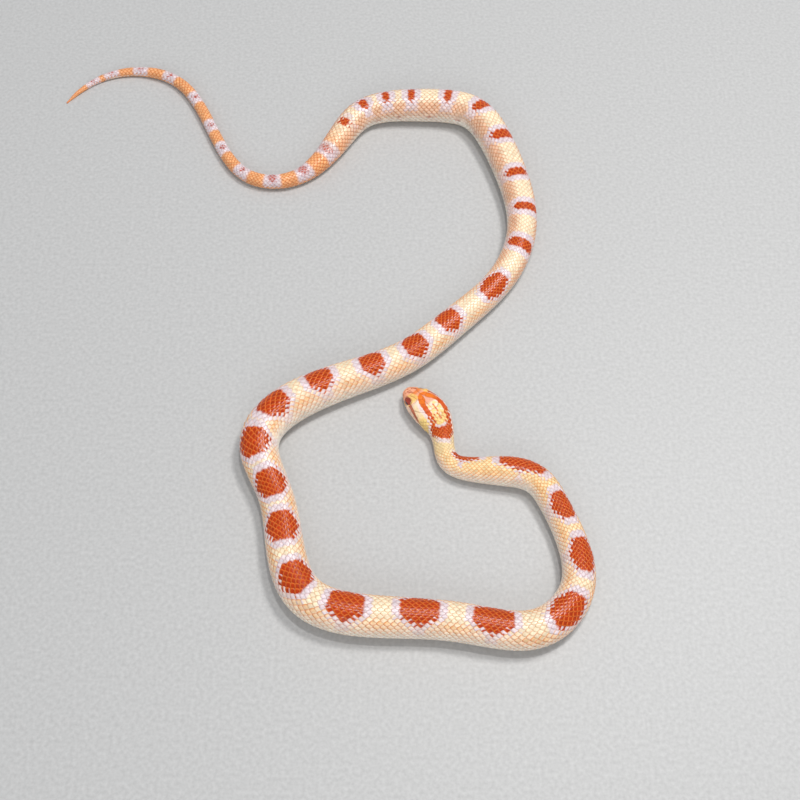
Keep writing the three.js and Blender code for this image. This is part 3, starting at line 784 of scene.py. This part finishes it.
def shingle_tree():
    """Sets the pattern scale on every root point, turned and sized by the point's own attributes."""
    tree = bpy.data.node_groups.new("laid_scales", "GeometryNodeTree")
    tree.interface.new_socket("Geometry", in_out="INPUT", socket_type="NodeSocketGeometry")
    tree.interface.new_socket("Scale", in_out="INPUT", socket_type="NodeSocketObject")
    for name in ("Length", "Breadth", "Lift"):
        socket = tree.interface.new_socket(name, in_out="INPUT", socket_type="NodeSocketFloat")
        socket.default_value = 1
    tree.interface.new_socket("Finish", in_out="INPUT", socket_type="NodeSocketMaterial")
    tree.interface.new_socket("Geometry", in_out="OUTPUT", socket_type="NodeSocketGeometry")
    nodes, links = tree.nodes, tree.links
    given = nodes.new("NodeGroupInput")
    result = nodes.new("NodeGroupOutput")
    info = nodes.new("GeometryNodeObjectInfo")
    spread = nodes.new("GeometryNodeInstanceOnPoints")
    turn = nodes.new("GeometryNodeInputNamedAttribute")
    turn.data_type = "FLOAT_VECTOR"
    turn.inputs["Name"].default_value = "turn"
    euler = nodes.new("FunctionNodeEulerToRotation")
    size = nodes.new("GeometryNodeInputNamedAttribute")
    size.data_type = "FLOAT_VECTOR"
    size.inputs["Name"].default_value = "size"
    factors = nodes.new("ShaderNodeCombineXYZ")
    scaled = nodes.new("ShaderNodeVectorMath")
    scaled.operation = "MULTIPLY"
    real = nodes.new("GeometryNodeRealizeInstances")
    root = nodes.new("GeometryNodeInputNamedAttribute")
    root.data_type = "FLOAT_VECTOR"
    root.inputs["Name"].default_value = "root"
    patch = nodes.new("GeometryNodeInputNamedAttribute")
    patch.data_type = "FLOAT_VECTOR"
    patch.inputs["Name"].default_value = "patch"
    small = nodes.new("ShaderNodeVectorMath")
    small.operation = "SCALE"
    small.inputs["Scale"].default_value = PATCH_SIZE
    summed = nodes.new("ShaderNodeVectorMath")
    summed.operation = "ADD"
    store = nodes.new("GeometryNodeStoreNamedAttribute")
    store.data_type = "FLOAT2"
    store.domain = "CORNER"
    store.inputs["Name"].default_value = "OFBake"
    finish = nodes.new("GeometryNodeSetMaterial")
    links.new(given.outputs["Geometry"], spread.inputs["Points"])
    links.new(given.outputs["Scale"], info.inputs["Object"])
    links.new(info.outputs["Geometry"], spread.inputs["Instance"])
    links.new(turn.outputs["Attribute"], euler.inputs["Euler"])
    links.new(euler.outputs["Rotation"], spread.inputs["Rotation"])
    links.new(given.outputs["Length"], factors.inputs["X"])
    links.new(given.outputs["Breadth"], factors.inputs["Y"])
    links.new(given.outputs["Lift"], factors.inputs["Z"])
    links.new(size.outputs["Attribute"], scaled.inputs[0])
    links.new(factors.outputs["Vector"], scaled.inputs[1])
    links.new(scaled.outputs["Vector"], spread.inputs["Scale"])
    links.new(spread.outputs["Instances"], real.inputs["Geometry"])
    links.new(patch.outputs["Attribute"], small.inputs[0])
    links.new(small.outputs["Vector"], summed.inputs[0])
    links.new(root.outputs["Attribute"], summed.inputs[1])
    links.new(real.outputs["Geometry"], store.inputs["Geometry"])
    links.new(summed.outputs["Vector"], store.inputs["Value"])
    links.new(store.outputs["Geometry"], finish.inputs["Geometry"])
    links.new(given.outputs["Finish"], finish.inputs["Material"])
    links.new(finish.outputs["Geometry"], result.inputs["Geometry"])
    return tree


def unwrap(s, f):
    """Where a root lies on the skin's own unwrap, cut in four lengths."""
    strip = np.minimum((4 * s / LENGTH).astype(int), 3)
    u = 0.01 + 0.98 * (4 * s / LENGTH - strip)
    v = (strip + 0.02 + 0.96 * (f + 1) / 2) / 4
    return u, v


tree = shingle_tree()
back, across, out = axes(scale_s, scale_f)
turns = np.column_stack([
    np.arctan2(across[:, 2], out[:, 2]),
    np.arcsin(np.clip(-back[:, 2], -1, 1)),
    np.arctan2(back[:, 1], back[:, 0]),
])
breadth = row_width(scale_s)
roots = lay(*straight(scale_s, scale_f))
shade = 0.86 + 0.22 * speckle(scale_s, scale_f, 3)
u, v = unwrap(scale_s, scale_f)


def lay_scales(name, chosen):
    base = new_piece(name + "_roots", roots[chosen], [])
    for label, values in (
        ("turn", turns),
        ("size", np.column_stack([2 * breadth, breadth, breadth]) * MM),
        ("root", np.column_stack([u, v, 0 * u])),
        ("seat", np.column_stack([scale_s, scale_f, shade])),
    ):
        layer = base.data.attributes.new(label, "FLOAT_VECTOR", "POINT")
        layer.data.foreach_set("vector", values[chosen].astype(np.float32).ravel())
    grow = base.modifiers.new("laid_scales", "NODES")
    grow.node_group = tree
    for item in tree.interface.items_tree:
        if item.name == "Scale":
            grow[item.identifier] = pattern
        elif item.name == "Finish":
            grow[item.identifier] = keratin
    evaluated = base.evaluated_get(bpy.context.evaluated_depsgraph_get())
    mesh = bpy.data.meshes.new_from_object(evaluated)
    mesh.name = name
    place = np.zeros(len(mesh.vertices) * 3, np.float32)
    mesh.vertices.foreach_get("co", place)
    place[2::3] = np.maximum(place[2::3], 0.01 * MM)
    mesh.vertices.foreach_set("co", place)
    seat, size, patch = (np.zeros(len(place), np.float32) for _ in range(3))
    for label, values in (("seat", seat), ("size", size), ("patch", patch)):
        mesh.attributes[label].data.foreach_get("vector", values)
    seat, size, patch = (values.reshape(-1, 3).astype(float) for values in (seat, size, patch))
    s = seat[:, 0] + FOLLOW * PATCH_LONG * patch[:, 0] * size[:, 0] / MM
    f = seat[:, 1] + FOLLOW * PATCH_BROAD * patch[:, 1] * size[:, 1] / MM / half_girth(seat[:, 0])
    tint, rim = markings(s, np.clip(f, -1, 1))
    give_colour(mesh, "tint", np.clip(tint * seat[:, 2:], 0, 1))
    give_colour(mesh, "rim", rim)
    for label in ("turn", "size", "root", "patch", "seat"):
        found = mesh.attributes.get(label)
        if found is not None:
            mesh.attributes.remove(found)
    piece = bpy.data.objects.new(name, mesh)
    scene.collection.objects.link(piece)
    bpy.data.objects.remove(base)
    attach(piece, "root")
    return piece


for name, start, end in (
    ("scales_neck", 0, 100), ("scales_front", 100, 200), ("scales_middle", 200, 300),
    ("scales_rear", 300, 410), ("scales_tail", 410, 600),
):
    lay_scales(name, (scale_s >= start) & (scale_s < end))
bpy.data.objects.remove(pattern)

# The broad scutes of the belly. One pale strip of keratin goes with each crosswise row of scales,
# curved up the sides, its rear edge lapping the next. Past the vent they are paired. Each is a
# small sheet shaped to the body's own section.
scute_numbers = np.arange(4.5, phase[-1] - 2)
scute_s = np.interp(scute_numbers, phase, fine)
scute_s = scute_s[scute_s > FIRST_SCUTE]
scute_points, scute_faces, scute_tint, scute_uv = [], [], [], []
# Along one scute from its front to its rear edge, in scutes: how far it stands off the skin.
RISE = [(-0.62, -0.10), (-0.1, 0.03), (0.40, 0.10), (0.56, 0.115), (0.57, 0.0)]


def add_scute(s, low, high, count):
    """A strip from share low to share high round the belly, where 1 is its middle line."""
    pitch = 2 * float(row_width(s))
    lift = min(0.25, 0.040 * float(width(s))) * (0.6 + 0.4 * float(ease(18, 30, s)))
    first = sum(len(p) for p in scute_points)
    t = np.linspace(low, high, count)
    for along, rise in RISE:
        bow = 0.12 * (1 - ((t - (low + high) / 2) / ((high - low) / 2)) ** 2)
        x = s + pitch * (along + bow * (1 if along > 0 else 0.6))
        f = np.where(t > 1, t - 2, t)
        _, _, out = axes(x, np.where(t > 1, np.minimum(f, -0.001), f))
        scute_points.append(lay(*straight(x, f)) + out * lift * rise / 0.12)
        base, _ = markings(x, np.clip(np.abs(f), 0.80, 1))
        # The front of each scute, tucked under the one before it, is made 3% darker: painted shade.
        scute_tint.append(base * (0.97 if along < 0 else 1.0))
        u, v = unwrap(np.full(count, s), np.full(count, 0.999))
        over = 2 * (t - low) / (high - low) - 1
        scute_uv.append(np.column_stack([u + PATCH_SIZE / 2 * along, v + PATCH_SIZE / 2 * over]))
    for r in range(len(RISE) - 1):
        for k in range(count - 1):
            a = first + r * count + k
            scute_faces.append((a, a + 1, a + 1 + count, a + count))


for s in scute_s:
    if s < VENT:
        add_scute(s, BELLY_EDGE - 0.03, 2 - BELLY_EDGE + 0.03, 21)
    elif s < LENGTH - 3:
        add_scute(s, BELLY_EDGE - 0.04, 0.995, 9)
        add_scute(s, 1.005, 2 - BELLY_EDGE + 0.04, 9)
points = np.concatenate(scute_points)
points[:, 2] = np.maximum(points[:, 2], 0.004)
scutes = new_piece("belly_scutes", points, scute_faces)
if sum(p.normal.z * p.area for p in scutes.data.polygons) > 0:
    scutes.data.flip_normals()
give_colour(scutes.data, "tint", np.concatenate(scute_tint))
uv = scutes.data.uv_layers.new(name="OFBake")
corner = np.zeros(len(scutes.data.loops), int)
scutes.data.loops.foreach_get("vertex_index", corner)
uv.data.foreach_set("uv", np.concatenate(scute_uv)[corner].astype(np.float32).ravel())
scutes.data.materials.append(scaly_paint("belly_keratin", 0.36, False))
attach(scutes, "root")

# The eyes. Each is a flattened glossy ball half sunk in the head under a clear scale, with a dark
# round pupil in a brick-red iris. It is turned to look out, a little up and a little forward. The
# head leans to its right, so the left eye sits a little higher than the right one.


def turned(points, side):
    """The eye's own coordinates turned to its place in the head."""
    x, y, z = points.T
    a, b = side * EYE_UP, side * EYE_FORWARD
    y, z = y * math.cos(a) - z * math.sin(a), y * math.sin(a) + z * math.cos(a)
    x, y = x * math.cos(b) - y * math.sin(b), x * math.sin(b) + y * math.cos(b)
    at = EYE_AT[side]
    return np.column_stack([x + at[0], y + at[1] * side, z + at[2]])


def eye_paint():
    made = bpy.data.materials.new("eye_glass")
    made.use_nodes = True
    nodes, links = made.node_tree.nodes, made.node_tree.links
    shader = nodes["Principled BSDF"]
    look = nodes.new("ShaderNodeAttribute")
    look.attribute_name = "look"
    ramp = nodes.new("ShaderNodeValToRGB")
    ramp.color_ramp.elements[0].position = 0.30
    ramp.color_ramp.elements[0].color = (*paint(92, 18, 14), 1)
    ramp.color_ramp.elements[1].position = 0.37
    ramp.color_ramp.elements[1].color = (*paint(170, 58, 34), 1)
    outer = ramp.color_ramp.elements.new(0.86)
    outer.color = (*paint(132, 40, 26), 1)
    links.new(look.outputs["Fac"], ramp.inputs["Fac"])
    links.new(ramp.outputs["Color"], shader.inputs["Base Color"])
    shader.inputs["Roughness"].default_value = 0.06
    shader.inputs["Coat Weight"].default_value = 0.6
    shader.inputs["Coat Roughness"].default_value = 0.03
    return made


eye_glass = eye_paint()
for side, name, node in ((1, "left_eye", "eye_left"), (-1, "right_eye", "eye_right")):
    rings, turns_round = 24, 40
    polar = np.linspace(0, math.pi, rings + 1)[1:-1]
    spin = 2 * math.pi * np.arange(turns_round) / turns_round
    p, q = np.meshgrid(polar, spin, indexing="ij")
    ball = np.stack([np.sin(p) * np.cos(q), side * np.cos(p), np.sin(p) * np.sin(q)], -1).reshape(-1, 3)
    ball = np.concatenate([[[0, side, 0]], ball, [[0, -side, 0]]])
    look = np.arccos(np.clip(ball[:, 1] * side, -1, 1)) / (math.pi / 2)
    faces = [(0, 1 + k, 1 + (k + 1) % turns_round) for k in range(turns_round)]
    for r in range(rings - 2):
        low = 1 + r * turns_round
        for k in range(turns_round):
            n = (k + 1) % turns_round
            faces.append((low + k, low + turns_round + k, low + turns_round + n, low + n))
    low = 1 + (rings - 2) * turns_round
    faces += [(len(ball) - 1, low + (k + 1) % turns_round, low + k) for k in range(turns_round)]
    solid = turned(ball * EYE_RADII, side)
    eye = new_piece(name, lay(*solid.T), faces)
    pole = Vector(eye.data.vertices[0].co)
    if sum((p.center - pole).dot(p.normal) * p.area for p in eye.data.polygons) < 0:
        eye.data.flip_normals()
    layer = eye.data.attributes.new("look", "FLOAT", "POINT")
    layer.data.foreach_set("value", look.astype(np.float32))
    eye.data.materials.append(eye_glass)
    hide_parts(node)
    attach(eye, "root")
